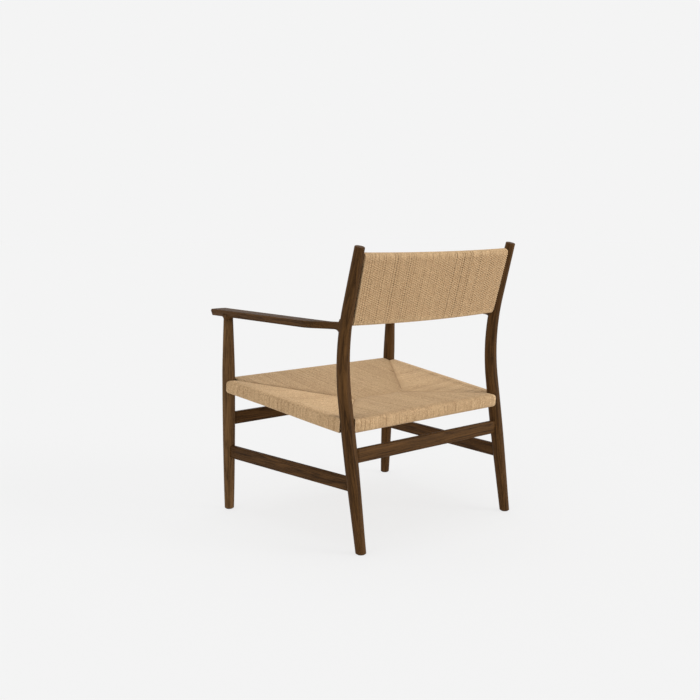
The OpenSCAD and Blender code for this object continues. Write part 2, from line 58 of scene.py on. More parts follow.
# %% Camera
eye = Vector((1.8046, 2.0052, 0.8304))
looks_at = Vector((-0.0149, -0.0859, 0.4510))
camera = bpy.data.objects.new("camera", bpy.data.cameras.new("camera"))
camera.data.lens = 49.0
camera.data.sensor_width = 36.0
camera.location = eye
camera.rotation_mode = "QUATERNION"
camera.rotation_quaternion = (looks_at - eye).to_track_quat("-Z", "Y")
scene.collection.objects.link(camera)
scene.camera = camera
print("camera distance", round((looks_at - eye).length, 3))

# %% [markdown]
# ## Node helpers
#
# A material is a small graph. These helpers start one, add a node, join two sockets, and start a
# node group with named inputs and outputs, so that each finish below reads like a recipe.

# %% Node helpers
def add(tree, kind, values=None, **settings):
    """A new node, with values by socket name or number and settings by name."""
    made = tree.nodes.new(kind)
    for key, value in settings.items():
        setattr(made, key, value)
    for socket, value in (values or {}).items():
        made.inputs[socket].default_value = value
    return made


def join(tree, *pairs):
    """Links output to input for each pair."""
    for output, socket in pairs:
        tree.links.new(output, socket)


def new_material(name, values):
    """A material with values on its shader, then its node tree and that shader."""
    made = bpy.data.materials.new(name)
    made.use_nodes = True
    shader = made.node_tree.nodes["Principled BSDF"]
    for socket, value in values.items():
        shader.inputs[socket].default_value = value
    return made, made.node_tree, shader


def start_group(name, inputs, outputs):
    """A shader node group. Inputs are (name, kind, value) and outputs are (name, kind)."""
    tree = bpy.data.node_groups.new(name, "ShaderNodeTree")
    for label, kind, value in inputs:
        socket = tree.interface.new_socket(label, in_out="INPUT", socket_type="NodeSocket" + kind)
        if value is not None:
            socket.default_value = value
    for label, kind in outputs:
        tree.interface.new_socket(label, in_out="OUTPUT", socket_type="NodeSocket" + kind)
    return tree, tree.nodes.new("NodeGroupInput"), tree.nodes.new("NodeGroupOutput")


def ramp(tree, stops):
    """A colour ramp with (position, grey or colour) stops."""
    made = tree.nodes.new("ShaderNodeValToRGB")
    elements = made.color_ramp.elements
    while len(elements) < len(stops):
        elements.new(0.5)
    for element, (position, value) in zip(elements, stops):
        element.position = position
        element.color = (value, value, value, 1) if isinstance(value, (int, float)) else (*value, 1)
    return made


def calculator(tree):
    """Makes Math nodes in one tree: the function takes links or numbers and gives the node's output."""
    signs = {"+": "ADD", "-": "SUBTRACT", "*": "MULTIPLY", "/": "DIVIDE"}

    def calculate(operation, *values):
        made = add(tree, "ShaderNodeMath", operation=signs.get(operation, operation))
        for socket, value in zip(made.inputs, values):
            if isinstance(value, (int, float)):
                socket.default_value = value
            else:
                tree.links.new(value, socket)
        return made.outputs[0]
    return calculate

# %% [markdown]
# ## Light and floor
#
# Dark oak beside pale cord needs soft light, or the oak turns black and the cord turns white. The
# world is a pale room: bright round the horizon, dimmer overhead. Three very wide suns add
# direction. The main one stands behind the chair and low enough to graze the woven back, where it
# picks out every crossing. A weak one from above lights the seat, and another fills in one side.
#
# The floor glows a little, like a lit table, so shadows under the chair stay faint. Its own grey is
# chosen so that glow and reflected light together are as bright as the background: no line shows.

# %% Light and floor
scene.view_settings.view_transform = "Standard"
scene.view_settings.look = "None"
room_grey, overhead_grey, horizon_top = 0.905, 0.72, 0.25
world = bpy.data.worlds.new("pale_room")
world.use_nodes = True
sky = world.node_tree
direction, height_of = add(sky, "ShaderNodeTexCoord"), add(sky, "ShaderNodeSeparateXYZ")
dimming = add(sky, "ShaderNodeMapRange", {"From Min": horizon_top, "From Max": 1.0,
                                          "To Min": room_grey, "To Max": overhead_grey})
join(sky, (direction.outputs["Generated"], height_of.inputs[0]),
     (height_of.outputs["Z"], dimming.inputs["Value"]),
     (dimming.outputs["Result"], sky.nodes["Background"].inputs["Color"]))
scene.world = world


def wide_sun(name, towards, strength, angle):
    """A sun that shines along a direction and is some degrees wide. Gives its light on the floor."""
    lamp = bpy.data.objects.new(name, bpy.data.lights.new(name, "SUN"))
    lamp.data.energy = strength
    lamp.data.angle = radians(angle)
    lamp.rotation_mode = "QUATERNION"
    lamp.rotation_quaternion = Vector(towards).to_track_quat("-Z", "Y")
    scene.collection.objects.link(lamp)
    return strength * -Vector(towards).normalized().z


sun_on_floor = wide_sun("sun_behind", (0.55, -0.75, -0.26), strength=1.60, angle=24)
sun_on_floor += wide_sun("sun_above", (0.10, 0.12, -1.0), strength=0.62, angle=40)
sun_on_floor += wide_sun("sun_side", (-0.90, -0.05, -0.35), strength=0.32, angle=50)

# Light from each height of the sky, weighted by how squarely it falls on the floor.
sky_steps = 400
z_steps = (np.arange(sky_steps) + 0.5) / sky_steps
sky_grey = np.interp(z_steps, [0, horizon_top, 1], [room_grey, room_grey, overhead_grey])
sky_on_floor = float((2 * pi * sky_grey * z_steps).mean())
floor_grey = 0.14
floor_glow = room_grey - floor_grey * (sky_on_floor + sun_on_floor) / pi

floor_mesh = bpy.data.meshes.new("floor")
reach = 30.0
floor_mesh.from_pydata([(x * reach, y * reach, 0) for x, y in ((-1, -1), (1, -1), (1, 1), (-1, 1))],
                       [], [(0, 1, 2, 3)])
floor = bpy.data.objects.new("floor", floor_mesh)
scene.collection.objects.link(floor)
floor_mesh.materials.append(new_material("pale_floor", {
    "Base Color": (floor_grey, floor_grey, floor_grey, 1), "Roughness": 0.9, "Specular IOR Level": 0.0,
    "Emission Color": (1, 1, 1, 1), "Emission Strength": floor_glow})[0])
print("floor glow", round(floor_glow, 3), "sky on floor", round(sky_on_floor, 3))

# %% [markdown]
# ## Oak grain
#
# Oak has growth rings, seen as long flames or fine lines along a leg, and open pores, seen as short
# dark strokes. Smoking darkens it all the way through, and oil leaves it satin. A picture of wood
# would stretch round the bends. Here each wooden piece carries its own grain coordinates instead:
# two across the piece and one along it. The group reads them, so the figure follows a bent leg.

# %% Oak grain group
grain, grain_in, grain_out = start_group(
    "oak_grain",
    [("Grain", "Vector", None), ("Ring Width", "Float", 0.0032), ("Ring Depth", "Float", 0.5),
     ("Pore Depth", "Float", 0.6), ("Dark", "Color", (0.015, 0.0060, 0.0013, 1)),
     ("Light", "Color", (0.118, 0.055, 0.0165, 1))],
    [("Color", "Color"), ("Roughness", "Float"), ("Height", "Float")])


def stretched_noise(scale, detail, rough=0.55):
    """Noise over the grain coordinates, scaled differently on each axis."""
    scaled = add(grain, "ShaderNodeVectorMath", {1: scale}, operation="MULTIPLY")
    noise = add(grain, "ShaderNodeTexNoise", {"Scale": 1.0, "Detail": detail, "Roughness": rough})
    join(grain, (grain_in.outputs["Grain"], scaled.inputs[0]), (scaled.outputs[0], noise.inputs["Vector"]))
    return noise.outputs["Fac"]


wood = calculator(grain)
# Noise scales per metre: two across the piece, one along it.
wander_scale, broad_scale = (38, 38, 2.6), (90, 90, 5)
fibre_scale, pore_scale = (1300, 1300, 22), (2400, 2400, 95)
ring_wander, fibre_share, broad_share, tone_floor, pore_share = 0.030, 1.5, 1.1, 1.12, 0.5
bands = stretched_noise(wander_scale, 2.0)
axes = add(grain, "ShaderNodeSeparateXYZ")
join(grain, (grain_in.outputs["Grain"], axes.inputs[0]))
from_pith = add(grain, "ShaderNodeCombineXYZ")
join(grain, (axes.outputs["X"], from_pith.inputs[0]), (axes.outputs["Y"], from_pith.inputs[1]))
pith_distance = add(grain, "ShaderNodeVectorMath", operation="LENGTH")
join(grain, (from_pith.outputs[0], pith_distance.inputs[0]))
wander = wood("*", bands, ring_wander)
radius_here = wood("+", pith_distance.outputs["Value"], wander)
ring_phase = wood("/", radius_here, grain_in.outputs["Ring Width"])
ring_saw = wood("FRACT", ring_phase)
ring_line = ramp(grain, [(0.0, 0.25), (0.16, 0.45), (0.55, 1.0), (0.86, 0.8), (1.0, 0.25)])
join(grain, (ring_saw, ring_line.inputs["Fac"]))
fibres = stretched_noise(fibre_scale, 4.0, 0.7)
broad = stretched_noise(broad_scale, 3.0)
pores = stretched_noise(pore_scale, 1.0)
pore_mask = ramp(grain, [(0.0, 1.0), (0.36, 1.0), (0.42, 0.0), (1.0, 0.0)])
join(grain, (pores, pore_mask.inputs["Fac"]))

ring_tone = wood("*", ring_line.outputs["Color"], grain_in.outputs["Ring Depth"])
fibre_tone = wood("*", fibres, fibre_share)
broad_tone = wood("*", broad, broad_share)
tone = wood("+", wood("+", ring_tone, fibre_tone), broad_tone)
tone = wood("-", tone, tone_floor)
pore_tone = wood("*", pore_mask.outputs["Color"], grain_in.outputs["Pore Depth"])
tone = wood("-", tone, wood("*", pore_tone, pore_share))
wood_mix = add(grain, "ShaderNodeMix", data_type="RGBA", clamp_factor=True)
join(grain, (tone, wood_mix.inputs["Factor"]),
     (grain_in.outputs["Dark"], wood_mix.inputs["A"]), (grain_in.outputs["Light"], wood_mix.inputs["B"]),
     (wood_mix.outputs["Result"], grain_out.inputs["Color"]))
satin = wood("+", wood("*", broad, 0.16), wood("*", pore_tone, 0.22))
join(grain, (wood("+", satin, 0.42), grain_out.inputs["Roughness"]),
     (wood("-", wood("*", ring_tone, 0.25), pore_tone),
      grain_out.inputs["Height"]))
print("oak_grain nodes", len(grain.nodes))

# %% [markdown]
# ## Twisted cord
#
# Paper cord is strips of brown kraft paper, twisted, then three of them laid together and waxed a
# little. Each turn of the lay shows as a slanting groove every few millimetres. Modelling three
# plies on some 350 metres of cord would be far too heavy, so the tube is round and the group draws
# the grooves, as a bump and as painted shade that darkens the colour in each groove. Each tube
# carries the cosine and sine of its own angle and the distance along it. An angle made from those
# two has no seam. The tone of each cord also shifts its noise, so that no two look alike. A tone
# below zero marks a length buried in the weave. The group scales its colour down there as painted
# shade, because the tubes lie more openly than real cord and let in light.

# %% Twisted cord group
twist, twist_in, twist_out = start_group(
    "paper_twist",
    [("Lay", "Vector", None), ("Tone", "Float", 0.5), ("Turn Length", "Float", 0.013),
     ("Groove Shade", "Float", 0.7), ("Dark", "Color", (0.31, 0.18, 0.080, 1)),
     ("Light", "Color", (0.73, 0.52, 0.30, 1))],
    [("Color", "Color"), ("Roughness", "Float"), ("Height", "Float")])
cord = calculator(twist)
plies, streaks, blotches = 3.0, 60.0, 260.0
paper_share, blotch_share, groove_shade_share = 0.7, 1.5, 0.55
lay = add(twist, "ShaderNodeSeparateXYZ")
join(twist, (twist_in.outputs["Lay"], lay.inputs[0]))
angle = cord("ARCTAN2", lay.outputs["Y"], lay.outputs["X"])
advance = cord("/", lay.outputs["Z"], twist_in.outputs["Turn Length"])
phase = cord("+", cord("*", angle, plies), cord("*", advance, plies * 2.0 * pi))
ply = cord("ABSOLUTE", cord("SINE", cord("*", phase, 0.5)))
ply_round = cord("POWER", ply, 0.6)
slant = add(twist, "ShaderNodeCombineXYZ")
join(twist, (cord("*", phase, 0.7), slant.inputs[0]),
     (cord("*", lay.outputs["Z"], streaks), slant.inputs[1]),
     (cord("*", twist_in.outputs["Tone"], 90.0), slant.inputs[2]))
paper = add(twist, "ShaderNodeTexNoise", {"Scale": 1.6, "Detail": 4.0, "Roughness": 0.65})
join(twist, (slant.outputs[0], paper.inputs["Vector"]))
patch = add(twist, "ShaderNodeCombineXYZ")
join(twist, (cord("*", lay.outputs["Z"], blotches), patch.inputs[0]),
     (cord("*", twist_in.outputs["Tone"], 300.0), patch.inputs[1]))
blotch = add(twist, "ShaderNodeTexNoise", {"Scale": 1.0, "Detail": 2.0, "Roughness": 0.6})
join(twist, (patch.outputs[0], blotch.inputs["Vector"]))
# Painted shade: the colour is darkened in each groove of the lay, on top of the bump drawn from the plies.
groove_shade = cord("*", cord("-", 1.0, ply_round), twist_in.outputs["Groove Shade"])
shade = twist_in.outputs["Tone"]
for noise, amount in ((paper, paper_share), (blotch, blotch_share)):
    swing = cord("-", noise.outputs["Fac"], 0.5)
    shade = cord("+", shade, cord("*", swing, amount))
shade = cord("-", shade, cord("*", groove_shade, groove_shade_share))
cord_mix = add(twist, "ShaderNodeMix", data_type="RGBA", clamp_factor=True)
# Painted shade: where the tone is below zero the colour is scaled down, on lengths buried in the weave.
buried = cord("+", cord("MINIMUM", twist_in.outputs["Tone"], 0.0), 1.0)
painted_shade_colour = add(twist, "ShaderNodeVectorMath", operation="SCALE")
join(twist, (shade, cord_mix.inputs["Factor"]),
     (twist_in.outputs["Dark"], cord_mix.inputs["A"]), (twist_in.outputs["Light"], cord_mix.inputs["B"]),
     (cord_mix.outputs["Result"], painted_shade_colour.inputs[0]), (buried, painted_shade_colour.inputs["Scale"]),
     (painted_shade_colour.outputs["Vector"], twist_out.inputs["Color"]),
     (cord("+", cord("*", paper.outputs["Fac"], 0.2), 0.42),
      twist_out.inputs["Roughness"]),
     (cord("+", ply_round, cord("*", paper.outputs["Fac"], 0.25)),
      twist_out.inputs["Height"]))
print("paper_twist nodes", len(twist.nodes))

# %% [markdown]
# ## The finishes
#
# Smoked oak is dark brown with a weak satin gloss, and one front leg is given a paler oak colour. The
# rails inside the cord are plain beech, left raw because nobody sees them. Cord, tacks and glides
# get their own finishes. A number that is the same all over a surface sits on the shader itself.

# %% Materials
def finish_with(name, group, source, values, bump, shader_values):
    """A material whose colour, roughness and bump come from one group, fed by source(tree, group)."""
    made, tree, shader = new_material(name, shader_values)
    figure = add(tree, "ShaderNodeGroup", values, node_tree=group)
    source(tree, figure)
    relief = add(tree, "ShaderNodeBump", {"Strength": bump[0], "Distance": bump[1]})
    join(tree, (figure.outputs["Color"], shader.inputs["Base Color"]),
         (figure.outputs["Roughness"], shader.inputs["Roughness"]),
         (figure.outputs["Height"], relief.inputs["Height"]),
         (relief.outputs["Normal"], shader.inputs["Normal"]))
    return made


def stored_grain(tree, figure):
    """Grain coordinates stored on the piece."""
    stored = add(tree, "ShaderNodeAttribute", attribute_name="grain")
    join(tree, (stored.outputs["Vector"], figure.inputs["Grain"]))


def straight_grain(order):
    """Grain coordinates from the object's own space, for a straight rail along the last axis of order."""
    def source(tree, figure):
        place = add(tree, "ShaderNodeTexCoord")
        apart, together = add(tree, "ShaderNodeSeparateXYZ"), add(tree, "ShaderNodeCombineXYZ")
        join(tree, (place.outputs["Object"], apart.inputs[0]), (together.outputs[0], figure.inputs["Grain"]))
        for i, axis in enumerate(order):
            join(tree, (apart.outputs[axis], together.inputs[i]))
    return source


def stored_lay(tree, figure):
    """The angle, the distance along and the tone stored on each cord."""
    stored = add(tree, "ShaderNodeAttribute", attribute_name="lay")
    tone_here = add(tree, "ShaderNodeAttribute", attribute_name="tone")
    join(tree, (stored.outputs["Vector"], figure.inputs["Lay"]),
         (tone_here.outputs["Fac"], figure.inputs["Tone"]))


# Each relief is a bump's strength and its distance in metres.
oak_relief, oak_gloss = (0.35, 0.0004), {"Specular IOR Level": 0.06}
pale_oak_colours = {"Dark": (0.032, 0.0140, 0.004, 1), "Light": (0.185, 0.098, 0.038, 1)}
beech_relief, beech_gloss = (0.3, 0.0003), {"Specular IOR Level": 0.2}
beech_colours = {"Dark": (0.26, 0.155, 0.075, 1), "Light": (0.42, 0.27, 0.145, 1)}
smoked_oak = finish_with("smoked_oak", grain, stored_grain, {}, oak_relief, oak_gloss)
pale_smoked_oak = finish_with("pale_smoked_oak", grain, stored_grain, pale_oak_colours, oak_relief, oak_gloss)
beech_across, beech_fore_aft = (
    finish_with(name, grain, straight_grain(order), beech_colours, beech_relief, beech_gloss)
    for name, order in (("beech_across", "YZX"), ("beech_fore_aft", "XZY")))
paper_cord = finish_with("paper_cord", twist, stored_lay, {}, (0.6, 0.0005), {"Specular IOR Level": 0.22})


def speckled(name, colour, roughness, metallic, scale, bump):
    """A small moulded or drawn part: a fine noise varies its colour, gloss and surface."""
    made, tree, shader = new_material(name, {"Metallic": metallic})
    place = add(tree, "ShaderNodeTexCoord")
    noise = add(tree, "ShaderNodeTexNoise", {"Scale": scale, "Detail": 4.0})
    tint = ramp(tree, [(0.3, tuple(0.8 * c for c in colour)), (0.7, colour)])
    gloss = ramp(tree, [(0.3, roughness - 0.08), (0.7, roughness + 0.08)])
    relief = add(tree, "ShaderNodeBump", {"Strength": bump, "Distance": 0.0002})
    join(tree, (place.outputs["Object"], noise.inputs["Vector"]), (noise.outputs["Fac"], tint.inputs["Fac"]),
         (noise.outputs["Fac"], gloss.inputs["Fac"]), (noise.outputs["Fac"], relief.inputs["Height"]),
         (tint.outputs["Color"], shader.inputs["Base Color"]),
         (gloss.outputs["Color"], shader.inputs["Roughness"]),
         (relief.outputs["Normal"], shader.inputs["Normal"]))
    return made


dark_nylon = speckled("dark_nylon", (0.03, 0.024, 0.02), 0.5, 0.0, 900.0, 0.3)
drawn_steel = speckled("drawn_steel", (0.55, 0.55, 0.57), 0.35, 1.0, 1500.0, 0.2)

for node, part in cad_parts.items():
    part.data.materials.clear()
    if "rail" in node or "dowel" in node:
        part.data.materials.append(beech_fore_aft if "side" in node or "dowel" in node else beech_across)
    elif "glide" in node:
        part.data.materials.append(dark_nylon)
    elif "tack" in node:
        part.data.materials.append(drawn_steel)
print("materials", len(bpy.data.materials))

# %% [markdown]
# ## One builder for every closed shape
#
# A leg, a bar and an armrest are all a list of rings joined by a skin. Points come in millimetres,
# because that is how a maker writes sizes, and leave in metres. Each end is closed by a fan around
# a middle point. Each point also stores its grain coordinates for the oak group.

# %% Ring skin
mm = 0.001


def new_piece(name, points, faces, material, marks, stands_for=()):
    """A smooth mesh object. Points are in mm, marks are arrays stored per point by name."""
    mesh = bpy.data.meshes.new(name)
    mesh.vertices.add(len(points))
    mesh.vertices.foreach_set("co", (np.asarray(points) * mm).astype(np.float32).ravel())
    corners = np.concatenate([f.ravel() for f in faces]).astype(np.int32)
    sizes = np.concatenate([np.full(len(f), f.shape[1]) for f in faces])
    mesh.loops.add(len(corners))
    mesh.loops.foreach_set("vertex_index", corners)
    mesh.polygons.add(len(sizes))
    mesh.polygons.foreach_set("loop_start", np.r_[0, np.cumsum(sizes)[:-1]].astype(np.int32))
    mesh.update(calc_edges=True)
    mesh.polygons.foreach_set("use_smooth", np.ones(len(sizes), bool))
    for label, values in marks.items():
        kind = "FLOAT_VECTOR" if values.ndim == 2 else "FLOAT"
        mark = mesh.attributes.new(label, kind, "POINT")
        mark.data.foreach_set("vector" if values.ndim == 2 else "value", values.astype(np.float32).ravel())
    mesh.materials.append(material)
    piece = bpy.data.objects.new(name, mesh)
    scene.collection.objects.link(piece)
    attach(piece, "root")
    if stands_for:
        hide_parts(*stands_for)
    return piece


def skin(name, rings, grain_marks, stands_for=(), flip=False, finish=None):
    """Closed oak piece from rings (count, points per ring, 3), with fans at both ends."""
    count, around = rings.shape[:2]
    i, j = np.meshgrid(np.arange(count - 1), np.arange(around), indexing="ij")
    a, b = i * around + j, i * around + (j + 1) % around
    sides = np.stack([a, b, b + around, a + around], -1).reshape(-1, 4)
    first, last = count * around, count * around + 1
    k = np.arange(around)
    start = np.stack([np.full(around, first), (k + 1) % around, k], -1)
    end = np.stack([np.full(around, last), k + (count - 1) * around,
                    (k + 1) % around + (count - 1) * around], -1)
    points, marks = (np.concatenate([rows.reshape(-1, 3), [rows[0].mean(0)], [rows[-1].mean(0)]])
                     for rows in (rings, grain_marks))
    faces = [sides, start, end]
    if flip:
        faces = [f[:, ::-1] for f in faces]
    return new_piece(name, points, faces, finish or smoked_oak, {"grain": marks * mm},
                     stands_for)


def mirrored(values):
    """The same points on the other side of the chair."""
    return values * np.array([-1.0, 1.0, 1.0])


def end_round(start, stop, count, radius):
    """Stations from start to stop with a quarter circle at both ends, and how far each is inset."""
    turn = np.radians(np.linspace(0, 90, 6))
    near = start + radius * (1 - np.cos(turn))
    middle = np.linspace(start + radius, stop - radius, count)[1:-1]
    inset = radius * (1 - np.sin(turn))
    return np.r_[near, middle, (start + stop - near)[::-1]], np.r_[inset, 0 * middle, inset[::-1]]


def smooth_step(t):
    """Eases from 0 to 1."""
    t = np.clip(t, 0, 1)
    return t * t * (3 - 2 * t)

# %% [markdown]
# ## Front legs
#
# Each front leg is turned on a lathe: slim at the foot, full at seat height, slim again under the
# armrest. It leans back by about two degrees and out by half a degree. Horizontal circles on the
# leaning centre line are close enough to a true turning, and they keep the foot flat on its glide.
# The shoulder's edge is just broken, so the joint under the armrest shows as a fine line.

# %% Front legs
chair_d, chair_h, glide_t = 610.0, 770.0, 2.0
front_rake, front_splay, front_leg_h = radians(1.92), radians(0.49), 552.0
leg_d, front_top_d, leg_sides = 36.0, 26.8, 56
front_foot_x, front_top_in = 309, 76
front_run = tan(front_rake) / cos(front_splay)
front_foot_y = -chair_d / 2 + front_top_in - front_run * front_leg_h


def front_at(z):
    """Centre of the left front leg at height z, in mm."""
    z = np.asarray(z, float)
    return np.stack([front_foot_x + tan(front_splay) * z, front_foot_y + front_run * z, z], -1)


def turned_d(z, foot_d, top_d, full_from, full_to, top_z, swell, taper):
    """Diameter at height z of a leg that swells from its foot to leg_d and then tapers to its top."""
    z = np.asarray(z, float)
    low = foot_d + (leg_d - foot_d) * np.sin(np.pi / 2 * np.clip(z / full_from, 0, 1)) ** swell
    high = leg_d - (leg_d - top_d) * (np.clip(z - full_to, 0, None) / (top_z - full_to)) ** taper
    return np.where(z < full_from, low, high)


def front_d(z):
    """Diameter of a front leg."""
    return turned_d(z, 26.5, front_top_d, full_from=350, full_to=400, top_z=front_leg_h, swell=0.8, taper=1.2)


def circles(centres, radii, sides, outward=(0, 1.0, 0)):
    """Rings of points round a centre line, level unless outward says more, and their flat coordinates."""
    turn = np.linspace(0, 2 * np.pi, sides, endpoint=False)
    c, s = np.cos(turn)[None, :, None], np.sin(turn)[None, :, None]
    across, outward = np.array([1.0, 0, 0]), np.broadcast_to(outward, centres.shape)
    rings = centres[:, None] + radii[:, None, None] * (c * across + s * outward[:, None])
    return rings, np.stack([radii[:, None] * np.cos(turn), radii[:, None] * np.sin(turn)], -1)


def grain_along(flat, along, pith):
    """Grain coordinates: two across the piece, measured from the tree's pith, and one along it."""
    along = np.broadcast_to(along[:, None], flat.shape[:2])
    return np.stack([flat[..., 0] + pith[0], flat[..., 1] + pith[1], along + pith[2]], -1)


z, inset = end_round(glide_t, front_leg_h, 90, 1.2)
rings, flat = circles(front_at(z), front_d(z) / 2 - inset, leg_sides)
skin("front_leg_left_turned", rings, grain_along(flat, z, (38, 30, 0)), ["front_leg_left"],
     finish=pale_smoked_oak)
skin("front_leg_right_turned", mirrored(rings), grain_along(flat, z, (-52, 21, 900)), ["front_leg_right"],
     flip=True)
print("front foot centre", front_at(0).round(2))

# %% [markdown]
# ## Rear legs
#
# The rear leg leans forward as far as the seat, bends over about a quarter of a metre, then leans
# back. It is bent or band sawn, then rounded, and it tapers to both ends. Rings that turn with the
# centre line keep it round all the way. The stored grain coordinate runs along that line, so the
# figure bends too.

# %% Rear legs
lower_lean, upper_lean, knee_z, knee_l = radians(8.84), radians(15.75), 499.0, 243.0
rear_splay, rear_foot_x, rear_foot_in = radians(0.23), 277, 13.75
rear_top_d = 26.0
bend = tan(lower_lean) + tan(upper_lean)


def rear_at(z):
    """Centre of the left rear leg at height z, in mm."""
    z = np.asarray(z, float)
    u = z - knee_z + knee_l / 2
    bent = np.where(u <= 0, 0, np.where(u < knee_l, u * u / (2 * knee_l), u - knee_l / 2))
    return np.stack([rear_foot_x + tan(rear_splay) * z,
                     chair_d / 2 - rear_foot_in - tan(lower_lean) * z + bend * bent, z], -1)


def rear_tilt(z):
    """Backward lean of the leg there, in radians."""
    u = np.clip((np.asarray(z, float) - knee_z + knee_l / 2) / knee_l, 0, 1)
    return np.arctan(-tan(lower_lean) + bend * u)


def rear_d(z):
    """Diameter of a rear leg."""
    return turned_d(z, 27.5, rear_top_d, full_from=280, full_to=280, top_z=chair_h, swell=1.3, taper=1.6)


rear_end_z = chair_h - sin(upper_lean) * rear_top_d / 2
z, inset = end_round(glide_t, rear_end_z, 130, 1.5)
tilt = rear_tilt(z) * smooth_step((z - 4) / 14)
axis_out = np.stack([0 * z, np.cos(tilt), -np.sin(tilt)], -1)
rings, flat = circles(rear_at(z), rear_d(z) / 2 - inset, leg_sides, axis_out)
skin("rear_leg_left_bent", rings, grain_along(flat, z, (26, 44, 1700)), ["rear_leg_left"])
skin("rear_leg_right_bent", mirrored(rings), grain_along(flat, z, (47, -33, 2600)), ["rear_leg_right"],
     flip=True)
print("rear leg top", round(rings[-1][:, 2].max(), 1))

# %% [markdown]
# ## Armrests
#
# An armrest is one board: flat with round edges over most of its length, then its outer edge sweeps
# in to the rear leg and it thickens, so that the neck meets the leg in fillets. The fillet under the
# outer side is the largest. A board is easiest as a row of cross sections along its length. Near the
# front tip the sections shrink along a quarter circle, which rounds the corners. The round boss over
# the front leg is a turned piece.

# %% Armrests
arm_mid_z, arm_t, arm_w, arm_taper = 569.5, 18.0, 54.0, 6.0
neck_l, inner_neck_l, arm_corner_r, arm_edge_r, arm_nose_r = 116.0, 52.0, 12.0, 4.5, 8.0
neck_over_r, neck_under_outer, neck_under_inner = 8.0, 15.0, 7.0
arm_flare, arm_dome, neck_share, blend_half = radians(0.28), 0.3, 0.92, 8
arm_joint = rear_at(arm_mid_z)
arm_joint_r = float(rear_d(arm_mid_z)) / 2
arm_front_y = -chair_d / 2
arm_outer_x = front_at(arm_mid_z)[0] + front_top_d / 2
arm_l = arm_joint[1] - arm_front_y


def round_in(radius, t):
    """How far a rounded edge is set back at distance t from its end."""
    t = np.clip(t, 0, radius)
    return radius - np.sqrt(np.clip(radius * radius - (radius - t) ** 2, 0, None))


def armrest_section(y, across=10, corner=7):
    """A closed section of the left armrest, anticlockwise seen from behind, and its flat coordinates."""
    t = y - arm_front_y
    edge = arm_outer_x + tan(arm_flare) * t
    sweep = smooth_step((y - arm_joint[1] + neck_l) / (neck_l - arm_joint_r))
    inner_sweep = smooth_step((y - arm_joint[1] + inner_neck_l) / (inner_neck_l - arm_joint_r / 2))
    x1 = edge + (arm_joint[0] + neck_share * arm_joint_r - edge) * sweep
    x0 = edge - arm_w + arm_taper * min(t / (arm_l - neck_l), 1)
    x0 = x0 + (arm_joint[0] - neck_share * arm_joint_r - x0) * inner_sweep
    x0, x1 = x0 + round_in(arm_corner_r, t), x1 - round_in(arm_corner_r, t)
    h = arm_t / 2 - round_in(arm_nose_r, t)
    r = min(arm_edge_r, max(float(h) - 0.4, 0.6))
    steps = np.linspace(0, 1, across + 1)
    dome = arm_dome * 4 * steps * (1 - steps)
    turn = np.radians(np.linspace(90, 0, corner + 1))[1:]
    half = [np.stack([x0 + r + (x1 - x0 - 2 * r) * steps, h + dome], -1),
            np.stack([x1 - r + r * np.cos(turn), h - r + r * np.sin(turn)], -1)]
    top = np.concatenate(half)
    under = top * [-1, -1] + [x0 + x1, 0]
    section = np.concatenate([top, under])
    out = np.maximum(np.hypot(section[:, 0] - arm_joint[0], y - arm_joint[1]) - arm_joint_r, 0)
    outer_share = smooth_step((section[:, 0] - arm_joint[0] + blend_half) / (2 * blend_half))
    under_r = neck_under_inner + (neck_under_outer - neck_under_inner) * outer_share
    fillet_r = np.where(section[:, 1] > 0, neck_over_r, under_r)
    lift = np.where(out < fillet_r, round_in(fillet_r, out), 0)
    height = section[:, 1] * (1 + lift / (arm_t / 2))
    points = np.stack([section[:, 0], np.full(len(section), y), arm_mid_z + height], -1)
    return points, np.stack([section[:, 0] - edge + arm_w / 2, height], -1)


tip = arm_front_y + arm_corner_r * (1 - np.cos(np.radians(np.linspace(0, 90, 15))))
fillet_start = arm_joint[1] - arm_joint_r - neck_under_outer
stations = np.r_[tip, np.linspace(tip[-1], arm_joint[1] - neck_l, 40)[1:],
                 np.linspace(arm_joint[1] - neck_l, fillet_start, 40)[1:],
                 np.linspace(fillet_start, arm_joint[1], 40)[1:]]
sections = [armrest_section(y) for y in stations]
rings = np.stack([points for points, flat in sections])
flat = np.stack([flat for points, flat in sections])
skin("armrest_left_board", rings, grain_along(flat, stations, (9, -34, 3300)), ["armrest_left"])
skin("armrest_right_board", mirrored(rings), grain_along(flat, stations, (-14, -41, 4100)),
     ["armrest_right"], flip=True)

# The boss: a low collar, a cove that widens upward, and a straight top that ends inside the board.
cove = np.radians(np.linspace(0, 54, 12))
boss_r = np.r_[12.8, 13.2, 13.4, 21.4 - 8 * np.cos(cove), 16.75, 16.75]
boss_z = np.r_[552.0, 552.15, 552.6, 554 + 8 * np.sin(cove), 563.0, 566.0]
boss_c = front_at(boss_z)
rings, flat = circles(boss_c, boss_r, 72)
rings[..., 0] = np.minimum(rings[..., 0], arm_outer_x + 0.1)
marks = grain_along(flat, boss_z, (20, 33, 5000))
skin("armrest_left_boss", rings, marks)
skin("armrest_right_boss", mirrored(rings), marks, flip=True)
print("armrest length", round(stations[-1] - stations[0], 1))

# %% [markdown]
# ## Stretchers
#
# Four flat bars with rounded edges tie the legs below the seat. The two side bars are low, the back
# bar is higher, and the front bar is just under the seat. Each bar's full section is let into the
# legs a little, so the visible bar simply runs from one leg into the other.

# %% Stretchers
bar_h, bar_t, bar_edge_r, let_in = 36.0, 16.0, 4.0, 1.5
front_left, front_right = (front_at, front_d, 1.0), (front_at, front_d, -1.0)
rear_left, rear_right = (rear_at, rear_d, 1.0), (rear_at, rear_d, -1.0)


